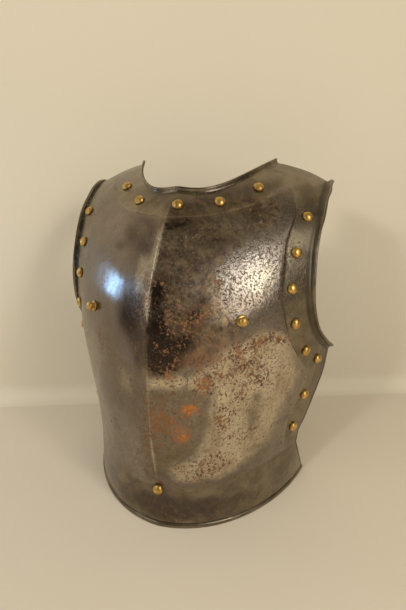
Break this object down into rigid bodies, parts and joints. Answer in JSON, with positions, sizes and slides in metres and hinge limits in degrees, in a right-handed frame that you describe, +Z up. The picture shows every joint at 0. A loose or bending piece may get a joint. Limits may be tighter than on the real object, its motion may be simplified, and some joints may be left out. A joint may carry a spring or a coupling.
{
  "type": "cuirass breastplate",
  "caption": "Ridged steel breastplate of a cavalry cuirass with curled neck and arm edges, sunken riveted borders, flared waist flange and brass strap studs.",
  "frame": {"origin": "on the surface the plate stands on, below the middle of the box round the whole object", "axes": "+Z up, -Y out of the chest, +X to the wearer's left"},
  "size_m": [0.368, 0.2165, 0.4295],
  "materials": {
    "steel": "old polished steel, grey-brown tarnish, rust specks and pitting",
    "brass": "dulled brass, darker round the base"
  },
  "bodies": {
    "root": {"breastplate": "steel", "neck_rivet_centre": "brass", "neck_rivet_left_1": "brass", "neck_rivet_left_2": "brass", "neck_rivet_right_1": "brass", "neck_rivet_right_2": "brass", "arm_rivet_left_1": "brass", "arm_rivet_left_2": "brass", "arm_rivet_left_3": "brass", "arm_rivet_left_4": "brass", "arm_rivet_left_5": "brass", "arm_rivet_left_6": "brass", "arm_rivet_right_1": "brass", "arm_rivet_right_2": "brass", "arm_rivet_right_3": "brass", "arm_rivet_right_4": "brass", "arm_rivet_right_5": "brass", "arm_rivet_right_6": "brass", "side_rivet_left_1": "brass", "side_rivet_left_2": "brass", "side_rivet_right_1": "brass", "side_rivet_right_2": "brass", "strap_stud_left": "brass", "strap_stud_right": "brass", "waist_rivet": "brass"}
  },
  "joints": []
}
